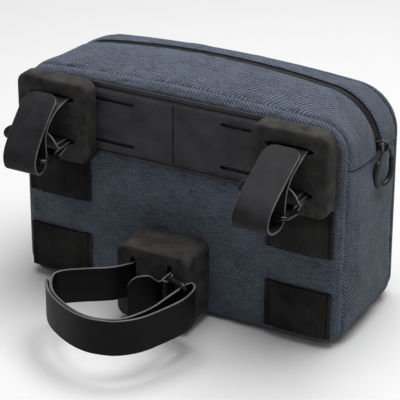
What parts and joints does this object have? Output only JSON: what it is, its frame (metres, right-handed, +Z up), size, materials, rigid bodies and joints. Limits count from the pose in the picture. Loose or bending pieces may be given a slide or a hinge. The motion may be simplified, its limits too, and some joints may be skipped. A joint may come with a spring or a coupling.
{
  "type": "bicycle handlebar bag",
  "caption": "Zipped woven cloth bag that hangs on a handlebar by rubber straps through foam blocks, with a third strap for the head tube.",
  "frame": {"origin": "centre of the flat underside that the bag stands on", "axes": "+Z up, +X along the bag's width towards the end where the slider is parked, -Y towards the handlebar"},
  "size_m": [0.2514, 0.2061, 0.169],
  "materials": {
    "cloth": "woven canvas, slate blue",
    "foam": "closed cell foam, matte black",
    "strap_rubber": "coated strap, satin black",
    "band_rubber": "coated sheet, matte black",
    "webbing": "ribbed webbing, black",
    "zipper": "coated zipper, black",
    "metal": "black coated wire and casting",
    "pull_rubber": "moulded cord pull, black"
  },
  "bodies": {
    "root": {"rear_panel": "cloth", "front_panel": "cloth", "lower_gusset": "cloth", "upper_gusset_rear": "cloth", "upper_gusset_front": "cloth", "zipper_tape": "zipper", "zipper_coil": "zipper", "zip_slider": "metal", "zip_pull": "pull_rubber", "mount_band": "band_rubber", "webbing_low_left": "webbing", "webbing_low_right": "webbing", "webbing_high_left": "webbing", "webbing_high_right": "webbing", "bar_block_left": "foam", "bar_block_right": "foam", "tube_block": "foam", "strap_left": "strap_rubber", "strap_right": "strap_rubber", "strap_tube": "strap_rubber", "tongue_left": "strap_rubber", "tongue_right": "strap_rubber", "tongue_tube": "strap_rubber", "ring_left": "metal", "ring_right": "metal", "ring_tube": "metal"}
  },
  "joints": []
}
